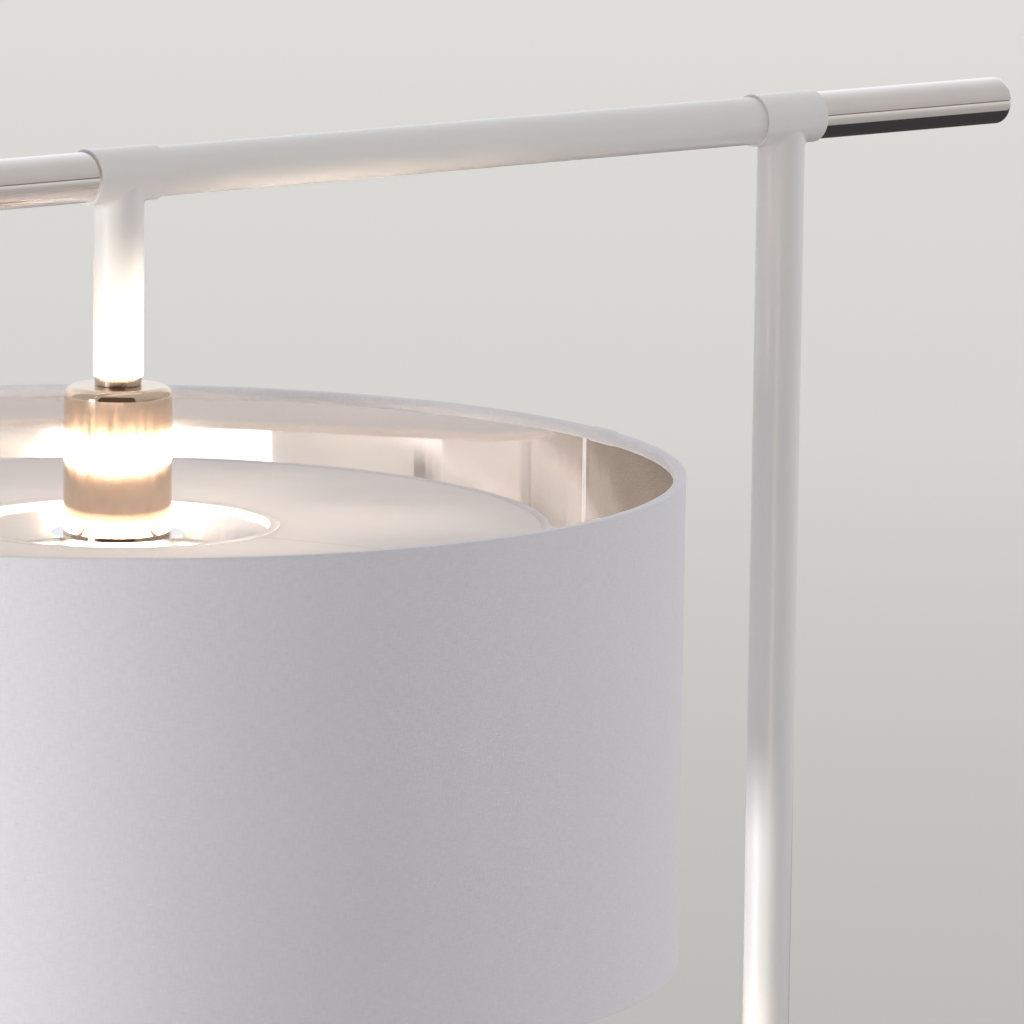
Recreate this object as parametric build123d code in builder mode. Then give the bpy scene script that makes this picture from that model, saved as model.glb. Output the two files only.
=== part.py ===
from build123d import *
import math
import os

os.makedirs("parts", exist_ok=True)

# Floor lamp with a straight horizontal arm and a hanging drum shade.
# Millimetres. Origin at the centre of the base's underside, +Z up.
# The post stands on the Z axis and the arm runs along X, with the shade at -X.

# ---- driving dimensions ----

# tubes of the post, arm and drop
tube_r = 10.0
tube_wall = 1.2
bore_r = tube_r - tube_wall
collar_wall = 1.0
collar_r = tube_r + collar_wall
collar_length = 33.0
weld_radius = 3.0
slip = 0.05  # radial gap where one piece slides over another

# layout
arm_height = 1550.0  # axis of the arm above the floor
arm_reach = 350.0  # from the post's axis to the shade's axis
rim_below_arm = 116.0  # shade's top rim below the arm's axis
stub_length = 108.0  # bare metal end beyond each collar
stub_round = 3.0
stub_end_wall = 4.0
arm_overrun = 15.0  # arm tube runs this far past each vertical axis
lower_split = 520.0  # heights of the two joins in the post
upper_split = 1035.0

# base
base_r = 150.0
cover_wall = 1.2
cover_top = 24.0
cover_lift = 1.0  # cover's lower edge above the floor
cover_round = 3.0
pad_thickness = 2.0
pad_inset = 2.5
weight_gap = 0.3
recess_r = 18.0
recess_top = 17.0
socket_r = 21.0
socket_height = 10.0
socket_spigot = 14.0
washer_r = 15.0
washer_thickness = 1.5
nut_flats = 22.0
nut_height = 3.5

# hollow threaded studs and the pressed-in rings that hold them
stud_r = 7.0
stud_bore_r = 4.0
insert_length = 14.0
stud_length = 26.0
drop_stud_r = 5.0
drop_stud_bore_r = 3.5
drop_insert_length = 12.0

# fixings of the arm's bare ends
end_stud_r = 4.0
end_insert_length = 8.0
stub_insert_length = 12.0
end_stud_length = 26.0
grub_r = 2.0
grub_length = 3.2
grub_offset = 9.0
grub_socket_flats = 2.0
grub_socket_depth = 1.4

# flex held inside the lamp
flex_r = 2.5
flex_bend = 10.0
flex_height = 6.5
channel_width = 8.0
wire_hole_r = 3.6
gland_r = 5.2
gland_neck_r = 4.0
gland_lip = 1.5
gland_bore_r = 2.6
gland_inside = 8.0
clamp_place = 90.0
clamp_length = 28.0
clamp_width = 9.0
clamp_thickness = 1.6
clamp_screw_spacing = 19.0
clamp_screw_r = 1.5
clamp_head_r = 2.8
clamp_screw_length = 9.0

# lampholder
neck_ring_inset = 0.7  # how far the neck ring stands in from the tube's side
neck_ring_r = tube_r - neck_ring_inset
neck_ring_height = 3.6
cup_r = 21.5
cup_wall = 1.0
cup_top_wall = 1.2
cup_edge_r = 4.0  # drawn round of the cup's upper edge
cup_top = 32.4  # above the shade's rim
cup_bottom = -26.5
locknut_flats = 14.0
locknut_height = 3.0
holder_cap_top = 26.0
holder_r = 18.5
holder_cap_wall = 1.5
core_top = 12.0
core_height = 10.0
shell_bore_r = 13.4
shell_wall = 0.5
shell_depth = 23.0
skirt_r = 19.9
skirt_bore_r = 14.4
skirt_mouth_r = 17.6
skirt_step = -22.0
skirt_bottom = -38.0
terminal_r = 2.2
terminal_place = 12.0
terminal_height = 6.0
contact_width = 6.0
contact_thickness = 0.5
contact_drop = 2.4

# bulb with a medium screw cap
tip_r = 4.6
tip_top = -1.9
tip_height = 1.4
insulator_height = 3.4
insulator_r = 11.0
cap_crest_r = 13.0
cap_root_r = 12.3
cap_thread_pitch = 3.63
cap_turns = 4
cap_bottom = -24.0
globe_r = 30.0
globe_centre = -76.0
glass_wall = 0.8
stem_r = 3.5
stem_bottom = -58.0
filament_r = 0.9
filament_ring_r = 8.0
filament_top = -56.0
filament_bottom = -88.0
filament_count = 4

# shade
shade_r = 225.0
shade_height = 196.0
fabric_thickness = 0.8
lining_thickness = 0.3
wire_r = 1.4
trim_wall = 0.8
trim_roof = 1.0
trim_height = 5.6
trim_bevel = 1.6
wire_gap = 0.4
edge_gap = 0.2
fitter_r = 26.5
fitter_thickness = 2.6
spider_wire_r = 1.25
seat_gap = 0.1  # play between the shade's fitter and what clamps it
arm_count = 3
first_arm_angle = 52.5
spider_bend = 10.0
ring_nut_r = 25.5
ring_nut_height = 7.0
ring_nut_flutes = 18
flute_r = 1.6

# diffuser disc that lies on the spider
disc_r = 172.5
disc_hole_r = 60.0
disc_below_rim = 22.5
disc_edge_width = 4.4
panel_thickness = 1.2
panel_below_edge = 0.4
panel_in_edge = 1.6
disc_edge_round = 1.5
clip_length = 9.0
clip_width = 6.0
clip_height = 4.6
clip_place_r = 140.0
clip_gap = 0.1

# ---- derived places ----

drop_x = -arm_reach
rim_z = arm_height - rim_below_arm
shade_bottom_z = rim_z - shade_height
neck_ring_top = cup_top + neck_ring_height
drop_bottom_z = rim_z + neck_ring_top
cover_inner_top = cover_top - cover_wall
washer_top = recess_top
nut_top = washer_top - washer_thickness
base_stud_bottom = nut_top - nut_height
socket_top = cover_top + socket_height
spigot_top = socket_top + socket_spigot
post_foot = socket_top
stub_start = arm_overrun
stub_end = collar_length / 2 + stub_length
shade_plane = Plane((drop_x, 0, rim_z), x_dir=(1, 0, 0), z_dir=(0, -1, 0))
fitter_top = cup_bottom - seat_gap
fitter_bottom = fitter_top - fitter_thickness
spider_level = (fitter_top + fitter_bottom) / 2
lining_r = shade_r - fabric_thickness
lining_inner_r = lining_r - lining_thickness
wire_ring_r = lining_inner_r - wire_gap - wire_r
wire_level = -trim_roof - edge_gap - wire_r
trim_inner_r = wire_ring_r - wire_r - edge_gap - trim_wall
trim_outer_r = shade_r + trim_wall


def height_plane(z, x=0.0):
    """Horizontal sketch plane at a height, centred over x."""
    return Plane((x, 0, z))


# ---- base ----

with BuildPart() as base_pad:
    with BuildSketch(height_plane(0)):
        Circle(base_r - pad_inset)
        Circle(recess_r, mode=Mode.SUBTRACT)
    extrude(amount=pad_thickness)
base_pad.part.label = "base_pad"
export_step(base_pad.part, "parts/base_pad.step")

weight_r = base_r - cover_wall - weight_gap
with BuildPart() as base_weight:
    with BuildSketch(height_plane(pad_thickness)):
        Circle(weight_r)
    extrude(amount=cover_inner_top - pad_thickness)
    chamfer(base_weight.edges().group_by(Axis.Z)[-1], cover_round)
    with BuildSketch(height_plane(pad_thickness)):
        Circle(recess_r)
    extrude(amount=recess_top - pad_thickness, mode=Mode.SUBTRACT)
    with BuildSketch(height_plane(recess_top)):
        Circle(stud_r + slip)
    extrude(amount=cover_inner_top - recess_top, mode=Mode.SUBTRACT)
    # channel for the flex, from the centre recess to the rim at +Y
    with BuildSketch(height_plane(pad_thickness)):
        with Locations((0, base_r / 2)):
            Rectangle(channel_width, base_r)
    extrude(amount=flex_height + channel_width / 2 - pad_thickness, mode=Mode.SUBTRACT)
    # pocket and tapped holes of the flex clamp
    with BuildSketch(height_plane(pad_thickness)):
        with Locations((0, clamp_place)):
            Rectangle(clamp_length + 2 * slip, clamp_width + 2 * slip)
    extrude(amount=flex_height - flex_r - pad_thickness, mode=Mode.SUBTRACT)
    with BuildSketch(height_plane(pad_thickness)):
        with Locations((0, clamp_place)):
            with GridLocations(clamp_screw_spacing, 1, 2, 1):
                Circle(clamp_screw_r)
    extrude(amount=clamp_screw_length + clamp_thickness, mode=Mode.SUBTRACT)
base_weight.part.label = "base_weight"
export_step(base_weight.part, "parts/base_weight.step")

with BuildPart() as base_cover:
    with BuildSketch(height_plane(cover_lift)):
        Circle(base_r)
    extrude(amount=cover_top - cover_lift)
    fillet(base_cover.edges().group_by(Axis.Z)[-1], cover_round)
    cover_mouth = base_cover.faces().sort_by(Axis.Z)[0]
    offset(amount=-cover_wall, openings=cover_mouth)
    with BuildSketch(height_plane(cover_inner_top)):
        Circle(stud_r + slip)
    extrude(amount=cover_wall, mode=Mode.SUBTRACT)
    # round hole for the gland in the rim at +Y
    with BuildSketch(Plane((0, base_r - recess_r, flex_height), x_dir=(1, 0, 0), z_dir=(0, 1, 0))):
        Circle(gland_neck_r)
    extrude(amount=recess_r + 1, mode=Mode.SUBTRACT)
base_cover.part.label = "base_cover"
export_step(base_cover.part, "parts/base_cover.step")

with BuildPart() as post_socket:
    with BuildSketch(height_plane(cover_top)):
        Circle(socket_r)
    extrude(amount=socket_height)
    fillet(post_socket.edges().group_by(Axis.Z)[-1], cover_round)
    with BuildSketch(height_plane(socket_top)):
        Circle(bore_r - slip)
    extrude(amount=socket_spigot)
    chamfer(post_socket.edges().group_by(Axis.Z)[-1], tube_wall / 2)
    with BuildSketch(height_plane(cover_top)):
        Circle(stud_r)
    extrude(amount=socket_height + socket_spigot, mode=Mode.SUBTRACT)
post_socket.part.label = "post_socket"
export_step(post_socket.part, "parts/post_socket.step")

with BuildPart() as base_stud:
    with BuildSketch(height_plane(base_stud_bottom)):
        Circle(stud_r)
        Circle(stud_bore_r, mode=Mode.SUBTRACT)
    extrude(amount=spigot_top - base_stud_bottom)
base_stud.part.label = "base_stud"
export_step(base_stud.part, "parts/base_stud.step")

with BuildPart() as base_washer:
    with BuildSketch(height_plane(nut_top)):
        Circle(washer_r)
        Circle(stud_r, mode=Mode.SUBTRACT)
    extrude(amount=washer_thickness)
base_washer.part.label = "base_washer"
export_step(base_washer.part, "parts/base_washer.step")

with BuildPart() as base_nut:
    with BuildSketch(height_plane(base_stud_bottom)):
        RegularPolygon(nut_flats / 2, 6, major_radius=False)
        Circle(stud_r, mode=Mode.SUBTRACT)
    extrude(amount=nut_height)
base_nut.part.label = "base_nut"
export_step(base_nut.part, "parts/base_nut.step")

# rubber gland in the rim: a lip outside, a neck through the cover, a tail inside
gland_plane = Plane((0, base_r, flex_height), x_dir=(1, 0, 0), z_dir=(0, 1, 0))
with BuildPart() as cord_gland:
    with BuildSketch(gland_plane.offset(slip)):
        Circle(gland_r)
    extrude(amount=gland_lip)
    fillet(cord_gland.edges().group_by(Axis.Y)[-1], gland_lip / 2)
    with BuildSketch(gland_plane.offset(slip)):
        Circle(gland_neck_r - slip)
    extrude(amount=-gland_inside)
    with BuildSketch(gland_plane.offset(gland_lip + slip)):
        Circle(gland_bore_r)
    extrude(amount=-(gland_inside + gland_lip), mode=Mode.SUBTRACT)
cord_gland.part.label = "cord_gland"
export_step(cord_gland.part, "parts/cord_gland.step")

clamp_bottom = flex_height - flex_r - clamp_thickness
clamp_plane = height_plane(clamp_bottom)
head_depth = clamp_head_r - clamp_screw_r
with BuildPart() as flex_clamp:
    with BuildSketch(clamp_plane):
        with Locations((0, clamp_place)):
            Rectangle(clamp_length, clamp_width)
    extrude(amount=clamp_thickness)
    fillet(flex_clamp.edges().filter_by(Axis.Z), clamp_thickness)
    with Locations(Plane((0, clamp_place, clamp_bottom), z_dir=(0, 0, -1))):
        with GridLocations(clamp_screw_spacing, 1, 2, 1):
            CounterSinkHole(clamp_screw_r, clamp_head_r, clamp_thickness)
flex_clamp.part.label = "flex_clamp"
export_step(flex_clamp.part, "parts/flex_clamp.step")

with BuildPart() as clamp_screws:
    with BuildSketch(clamp_plane):
        with Locations((0, clamp_place)):
            with GridLocations(clamp_screw_spacing, 1, 2, 1):
                Circle(clamp_screw_r)
    extrude(amount=clamp_screw_length)
    with BuildSketch(clamp_plane) as heads:
        with Locations((0, clamp_place)):
            with GridLocations(clamp_screw_spacing, 1, 2, 1):
                Circle(clamp_head_r)
    extrude(amount=head_depth, taper=45)
clamp_screws.part.label = "clamp_screws"
export_step(clamp_screws.part, "parts/clamp_screws.step")

# ---- post ----

with BuildPart() as lower_post:
    with BuildSketch(height_plane(post_foot)):
        Circle(tube_r)
        Circle(bore_r, mode=Mode.SUBTRACT)
    extrude(amount=lower_split - post_foot)
lower_post.part.label = "lower_post"
export_step(lower_post.part, "parts/lower_post.step")

with BuildPart() as middle_post:
    with BuildSketch(height_plane(lower_split)):
        Circle(tube_r)
        Circle(bore_r, mode=Mode.SUBTRACT)
    extrude(amount=upper_split - lower_split)
middle_post.part.label = "middle_post"
export_step(middle_post.part, "parts/middle_post.step")

# pressed-in rings, one each side of both joins
with BuildPart() as post_inserts:
    for start in (
        lower_split - insert_length,
        lower_split,
        upper_split - insert_length,
        upper_split,
    ):
        with BuildSketch(height_plane(start)):
            Circle(bore_r)
            Circle(stud_r, mode=Mode.SUBTRACT)
        extrude(amount=insert_length - slip)
post_inserts.part.label = "post_inserts"
export_step(post_inserts.part, "parts/post_inserts.step")

for join_name, join_z in (("lower", lower_split), ("upper", upper_split)):
    with BuildPart() as post_stud:
        with BuildSketch(height_plane(join_z - stud_length / 2)):
            Circle(stud_r)
            Circle(stud_bore_r, mode=Mode.SUBTRACT)
        extrude(amount=stud_length)
    post_stud.part.label = f"{join_name}_post_stud"
    export_step(post_stud.part, f"parts/{join_name}_post_stud.step")

# A vertical tube with the collar welded across its end. The tube's bore stops short
# of the collar, and a smaller hole lets the flex through.
plug = 1.5
bore_stop = arm_height - collar_r - plug
for weld_name, axis_x, end_z, grub_x in (
    ("upper_post", 0.0, upper_split, -grub_offset),
    ("drop_tube", drop_x, drop_bottom_z, drop_x + grub_offset),
):
    collar_plane = Plane((axis_x - collar_length / 2, 0, arm_height), x_dir=(0, 1, 0), z_dir=(1, 0, 0))
    grub_plane = Plane((grub_x, 0, arm_height), x_dir=(1, 0, 0), z_dir=(0, 1, 0))
    with BuildPart() as weldment:
        with BuildSketch(height_plane(end_z, axis_x)):
            Circle(tube_r)
        extrude(amount=arm_height - end_z)
        with BuildSketch(collar_plane):
            Circle(collar_r)
        extrude(amount=collar_length)
        below_collar = weldment.faces().filter_by(GeomType.CYLINDER).sort_by(SortBy.AREA)[-1]
        seam = [
            edge
            for edge in below_collar.edges()
            if edge.center().Z > bore_stop and edge.geom_type != GeomType.LINE
        ]
        fillet(seam, weld_radius)
        with BuildSketch(height_plane(end_z, axis_x)):
            Circle(bore_r)
        extrude(amount=bore_stop - end_z, mode=Mode.SUBTRACT)
        with BuildSketch(height_plane(bore_stop, axis_x)):
            Circle(wire_hole_r)
        extrude(amount=arm_height - bore_stop, mode=Mode.SUBTRACT)
        with BuildSketch(collar_plane):
            Circle(tube_r + slip)
        extrude(amount=collar_length, mode=Mode.SUBTRACT)
        with BuildSketch(grub_plane):
            Circle(grub_r)
        extrude(amount=collar_r, mode=Mode.SUBTRACT)
    weldment.part.label = weld_name
    export_step(weldment.part, f"parts/{weld_name}.step")

# ---- arm ----

arm_plane = Plane((drop_x - arm_overrun, 0, arm_height), x_dir=(0, 1, 0), z_dir=(1, 0, 0))
with BuildPart() as arm_tube:
    with BuildSketch(arm_plane):
        Circle(tube_r)
        Circle(bore_r, mode=Mode.SUBTRACT)
    extrude(amount=arm_reach + 2 * arm_overrun)
    for hole_x in (0.0, drop_x):
        with BuildSketch(height_plane(arm_height - collar_r, hole_x)):
            Circle(wire_hole_r)
        extrude(amount=collar_r, mode=Mode.SUBTRACT)
    for hole_x in (-grub_offset, drop_x + grub_offset):
        with BuildSketch(Plane((hole_x, 0, arm_height), x_dir=(1, 0, 0), z_dir=(0, 1, 0))):
            Circle(grub_r)
        extrude(amount=collar_r, mode=Mode.SUBTRACT)
arm_tube.part.label = "arm_tube"
export_step(arm_tube.part, "parts/arm_tube.step")

# each end of the arm: side +1 is beyond the post, side -1 beyond the drop tube
arm_ends = (("right", 1, 0.0), ("left", -1, drop_x))


def along_arm(side, axis_x, start):
    """Sketch plane across the arm, start outward from a vertical axis."""
    return Plane((axis_x + side * start, 0, arm_height), x_dir=(0, 1, 0), z_dir=(side, 0, 0))


for side_name, side, axis_x in arm_ends:
    with BuildPart() as stub:
        with BuildSketch(along_arm(side, axis_x, stub_start)):
            Circle(tube_r)
        extrude(amount=stub_end - stub_start)
        outer_rim = stub.edges().sort_by(Axis.X)[-1 if side > 0 else 0]
        fillet(outer_rim, stub_round)
        with BuildSketch(along_arm(side, axis_x, stub_start)):
            Circle(bore_r)
        extrude(amount=stub_end - stub_start - stub_end_wall, mode=Mode.SUBTRACT)
    stub.part.label = f"{side_name}_stub"
    export_step(stub.part, f"parts/{side_name}_stub.step")

with BuildPart() as arm_inserts:
    for side_name, side, axis_x in arm_ends:
        with BuildSketch(along_arm(side, axis_x, arm_overrun - end_insert_length)):
            Circle(bore_r)
            Circle(end_stud_r, mode=Mode.SUBTRACT)
        extrude(amount=end_insert_length - slip)
arm_inserts.part.label = "arm_inserts"
export_step(arm_inserts.part, "parts/arm_inserts.step")

with BuildPart() as stub_inserts:
    for side_name, side, axis_x in arm_ends:
        with BuildSketch(along_arm(side, axis_x, stub_start)):
            Circle(bore_r)
            Circle(end_stud_r, mode=Mode.SUBTRACT)
        extrude(amount=stub_insert_length)
stub_inserts.part.label = "stub_inserts"
export_step(stub_inserts.part, "parts/stub_inserts.step")

with BuildPart() as end_studs:
    for side_name, side, axis_x in arm_ends:
        with BuildSketch(along_arm(side, axis_x, arm_overrun - end_insert_length)):
            Circle(end_stud_r)
        extrude(amount=end_stud_length)
end_studs.part.label = "end_studs"
export_step(end_studs.part, "parts/end_studs.step")

grub_faces = (-grub_offset, drop_x + grub_offset)
with BuildPart() as grub_screws:
    for grub_x in grub_faces:
        grub_plane = Plane((grub_x, collar_r - slip, arm_height), x_dir=(1, 0, 0), z_dir=(0, 1, 0))
        with BuildSketch(grub_plane):
            Circle(grub_r)
        extrude(amount=-grub_length)
        with BuildSketch(grub_plane):
            RegularPolygon(grub_socket_flats / 2, 6, major_radius=False)
        extrude(amount=-grub_socket_depth, mode=Mode.SUBTRACT)
grub_screws.part.label = "grub_screws"
export_step(grub_screws.part, "parts/grub_screws.step")

# ---- drop and lampholder ----

with BuildPart() as drop_insert:
    with BuildSketch(height_plane(drop_bottom_z, drop_x)):
        Circle(bore_r)
        Circle(drop_stud_r, mode=Mode.SUBTRACT)
    extrude(amount=drop_insert_length)
drop_insert.part.label = "drop_insert"
export_step(drop_insert.part, "parts/drop_insert.step")

with BuildPart() as neck_ring:
    with BuildSketch(height_plane(rim_z + cup_top, drop_x)):
        Circle(neck_ring_r)
        Circle(drop_stud_r, mode=Mode.SUBTRACT)
    extrude(amount=neck_ring_height)
    chamfer(neck_ring.edges().group_by(Axis.Z)[0].sort_by(SortBy.LENGTH)[-1], tube_wall / 4)
neck_ring.part.label = "neck_ring"
export_step(neck_ring.part, "parts/neck_ring.step")

drop_stud_bottom = holder_cap_top - holder_cap_wall
with BuildPart() as drop_stud:
    with BuildSketch(height_plane(rim_z + drop_stud_bottom, drop_x)):
        Circle(drop_stud_r)
        Circle(drop_stud_bore_r, mode=Mode.SUBTRACT)
    extrude(amount=neck_ring_top + drop_insert_length - drop_stud_bottom)
drop_stud.part.label = "drop_stud"
export_step(drop_stud.part, "parts/drop_stud.step")

with BuildPart() as lampholder_cup:
    with BuildSketch(height_plane(rim_z + cup_bottom, drop_x)):
        Circle(cup_r)
    extrude(amount=cup_top - cup_bottom)
    fillet(lampholder_cup.edges().group_by(Axis.Z)[-1], cup_edge_r)
    with BuildPart(mode=Mode.PRIVATE) as cup_hollow:
        with BuildSketch(height_plane(rim_z + cup_bottom, drop_x)):
            Circle(cup_r - cup_wall)
        extrude(amount=cup_top - cup_bottom - cup_top_wall)
        fillet(cup_hollow.edges().group_by(Axis.Z)[-1], cup_edge_r - cup_wall)
    add(cup_hollow.part, mode=Mode.SUBTRACT)
    with BuildSketch(height_plane(rim_z + cup_top - cup_top_wall, drop_x)):
        Circle(drop_stud_r)
    extrude(amount=cup_top_wall, mode=Mode.SUBTRACT)
lampholder_cup.part.label = "lampholder_cup"
export_step(lampholder_cup.part, "parts/lampholder_cup.step")

locknut_bottom = cup_top - cup_top_wall - locknut_height
with BuildPart() as cup_locknut:
    with BuildSketch(height_plane(rim_z + locknut_bottom, drop_x)):
        RegularPolygon(locknut_flats / 2, 6, major_radius=False)
        Circle(drop_stud_r, mode=Mode.SUBTRACT)
    extrude(amount=locknut_height)
cup_locknut.part.label = "cup_locknut"
export_step(cup_locknut.part, "parts/cup_locknut.step")

core_bottom = core_top - core_height
with BuildPart() as lampholder_cap:
    with BuildSketch(height_plane(rim_z + core_top, drop_x)):
        Circle(holder_r)
    extrude(amount=holder_cap_top - core_top)
    fillet(lampholder_cap.edges().group_by(Axis.Z)[-1], 2 * holder_cap_wall)
    with BuildSketch(height_plane(rim_z + core_top, drop_x)):
        Circle(holder_r - holder_cap_wall)
    extrude(amount=holder_cap_top - core_top - 2 * holder_cap_wall, mode=Mode.SUBTRACT)
    with BuildSketch(height_plane(rim_z + core_top, drop_x)):
        Circle(drop_stud_r)
    extrude(amount=holder_cap_top - core_top, mode=Mode.SUBTRACT)
lampholder_cap.part.label = "lampholder_cap"
export_step(lampholder_cap.part, "parts/lampholder_cap.step")

terminal_bottom = core_top - terminal_height
with BuildPart() as lampholder_core:
    with BuildSketch(height_plane(rim_z + core_bottom, drop_x)):
        Circle(holder_r)
    extrude(amount=core_height)
    with BuildSketch(height_plane(rim_z + terminal_bottom, drop_x)):
        with GridLocations(2 * terminal_place, 1, 2, 1):
            Circle(terminal_r)
    extrude(amount=terminal_height, mode=Mode.SUBTRACT)
lampholder_core.part.label = "lampholder_core"
export_step(lampholder_core.part, "parts/lampholder_core.step")

with BuildPart() as terminal_screws:
    with BuildSketch(height_plane(rim_z + terminal_bottom, drop_x)):
        with GridLocations(2 * terminal_place, 1, 2, 1):
            Circle(terminal_r)
    extrude(amount=terminal_height + contact_thickness)
    with BuildSketch(height_plane(rim_z + core_top, drop_x)):
        with GridLocations(2 * terminal_place, 1, 2, 1):
            Rectangle(2 * terminal_r, contact_thickness)
    extrude(amount=contact_thickness, mode=Mode.SUBTRACT)
terminal_screws.part.label = "terminal_screws"
export_step(terminal_screws.part, "parts/terminal_screws.step")

with BuildPart() as thread_shell:
    with BuildSketch(height_plane(rim_z + core_bottom - shell_depth, drop_x)):
        Circle(shell_bore_r + shell_wall)
        Circle(shell_bore_r, mode=Mode.SUBTRACT)
    extrude(amount=shell_depth)
thread_shell.part.label = "thread_shell"
export_step(thread_shell.part, "parts/thread_shell.step")

# springy tongue under the core, bent down to meet the bulb's tip
tongue_reach = 2 * contact_width / 3
with BuildPart() as centre_contact:
    with BuildSketch(shade_plane):
        with BuildLine():
            FilletPolyline(
                (-tongue_reach - contact_width / 2, core_bottom - contact_thickness / 2),
                (-tongue_reach, core_bottom - contact_thickness / 2),
                (-tongue_reach / 2, core_bottom - contact_drop + contact_thickness / 2),
                (tongue_reach, core_bottom - contact_drop + contact_thickness / 2),
                radius=contact_thickness,
            )
            offset(amount=contact_thickness / 2)
        make_face()
    extrude(amount=contact_width / 2, both=True)
centre_contact.part.label = "centre_contact"
export_step(centre_contact.part, "parts/centre_contact.step")

with BuildPart() as lampholder_skirt:
    with BuildSketch(height_plane(rim_z + skirt_bottom, drop_x)):
        Circle(skirt_r)
    extrude(amount=core_bottom - skirt_bottom)
    with BuildSketch(height_plane(rim_z + skirt_bottom, drop_x)):
        Circle(skirt_bore_r)
    extrude(amount=core_bottom - skirt_bottom, mode=Mode.SUBTRACT)
    with BuildSketch(height_plane(rim_z + skirt_bottom, drop_x)):
        Circle(skirt_mouth_r)
    extrude(amount=skirt_step - skirt_bottom, mode=Mode.SUBTRACT)
lampholder_skirt.part.label = "lampholder_skirt"
export_step(lampholder_skirt.part, "parts/lampholder_skirt.step")

# fluted ring that screws up the skirt and clamps the shade's fitter
ring_nut_top = fitter_bottom - seat_gap
with BuildPart() as shade_ring_nut:
    with BuildSketch(height_plane(rim_z + ring_nut_top, drop_x)):
        Circle(ring_nut_r)
        Circle(skirt_r + slip, mode=Mode.SUBTRACT)
        with PolarLocations(ring_nut_r, ring_nut_flutes):
            Circle(flute_r, mode=Mode.SUBTRACT)
    extrude(amount=-ring_nut_height)
shade_ring_nut.part.label = "shade_ring_nut"
export_step(shade_ring_nut.part, "parts/shade_ring_nut.step")

# ---- flex, whole from the gland to the lampholder ----

flex_end = core_top + terminal_height / 2
with BuildPart() as inner_flex:
    with BuildLine() as flex_route:
        FilletPolyline(
            (0, base_r - gland_inside, flex_height),
            (0, 0, flex_height),
            (0, 0, arm_height),
            (drop_x, 0, arm_height),
            (drop_x, 0, rim_z + flex_end),
            radius=flex_bend,
        )
    with BuildSketch(Plane(origin=flex_route.line @ 0, z_dir=flex_route.line % 0)):
        Circle(flex_r)
    sweep(path=flex_route.line)
inner_flex.part.label = "inner_flex"
export_step(inner_flex.part, "parts/inner_flex.step")
flex_run = sum(edge.length for edge in flex_route.edges())
flex_fill = inner_flex.part.volume / (math.pi * flex_r**2 * flex_run)
print("flex", round(flex_run), "mm, bends of", flex_bend, "mm, volume ratio", round(flex_fill, 4))

# ---- bulb ----

cap_top = tip_top - tip_height - insulator_height
with BuildPart() as bulb_tip:
    with BuildSketch(height_plane(rim_z + tip_top - tip_height, drop_x)):
        Circle(tip_r)
    extrude(amount=tip_height)
    fillet(bulb_tip.edges().group_by(Axis.Z)[-1], tip_height / 2)
bulb_tip.part.label = "bulb_tip"
export_step(bulb_tip.part, "parts/bulb_tip.step")

with BuildPart() as bulb_insulator:
    with BuildSketch(shade_plane):
        with BuildLine():
            Polyline(
                (0, cap_top),
                (insulator_r, cap_top),
                (tip_r, tip_top - tip_height),
                (0, tip_top - tip_height),
                close=True,
            )
        make_face()
    revolve(axis=Axis((drop_x, 0, rim_z), (0, 0, 1)))
bulb_insulator.part.label = "bulb_insulator"
export_step(bulb_insulator.part, "parts/bulb_insulator.step")

# screw shell: rounded thread drawn as rings, one for each turn
thread_start = cap_top - cap_thread_pitch / 2
with BuildPart() as bulb_cap:
    with BuildSketch(height_plane(rim_z + cap_bottom, drop_x)):
        Circle(cap_root_r)
    extrude(amount=cap_top - cap_bottom)
    for turn in range(cap_turns):
        crest_z = thread_start - turn * cap_thread_pitch
        with BuildSketch(shade_plane):
            with Locations((cap_root_r - (cap_crest_r - cap_root_r) / 2, crest_z)):
                Ellipse(1.5 * (cap_crest_r - cap_root_r), cap_thread_pitch / 3)
        revolve(axis=Axis((drop_x, 0, rim_z), (0, 0, 1)))
bulb_cap.part.label = "bulb_cap"
export_step(bulb_cap.part, "parts/bulb_cap.step")


def globe_outline(inset):
    """Half outline of the globe: a ball with a neck that flows up to the cap."""
    ball_r = globe_r - inset
    meet = math.radians(35)
    meet_point = (ball_r * math.cos(meet), globe_centre + ball_r * math.sin(meet))
    neck_r = cap_root_r - inset
    bottom = (0, globe_centre - ball_r)
    widest = (ball_r, globe_centre)
    with BuildLine() as outline:
        Line((0, cap_bottom), (neck_r, cap_bottom))
        Spline(
            (neck_r, cap_bottom),
            meet_point,
            tangents=((0, -1), (math.sin(meet), -math.cos(meet))),
        )
        ThreePointArc(
            meet_point,
            (ball_r * math.cos(meet / 2), globe_centre + ball_r * math.sin(meet / 2)),
            widest,
        )
        ThreePointArc(
            widest,
            (ball_r * math.cos(-math.pi / 4), globe_centre + ball_r * math.sin(-math.pi / 4)),
            bottom,
        )
        Line(bottom, (0, cap_bottom))
    return outline.line


with BuildPart() as bulb_globe:
    with BuildSketch(shade_plane):
        make_face(globe_outline(0.0).edges())
        make_face(globe_outline(glass_wall).edges(), mode=Mode.SUBTRACT)
    revolve(axis=Axis((drop_x, 0, rim_z), (0, 0, 1)))
bulb_globe.part.label = "bulb_globe"
export_step(bulb_globe.part, "parts/bulb_globe.step")

with BuildPart() as bulb_stem:
    with BuildSketch(height_plane(rim_z + stem_bottom, drop_x)):
        Circle(stem_r)
    extrude(amount=cap_bottom - stem_bottom)
    fillet(bulb_stem.edges().group_by(Axis.Z)[0], stem_r / 2)
bulb_stem.part.label = "bulb_stem"
export_step(bulb_stem.part, "parts/bulb_stem.step")

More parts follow.
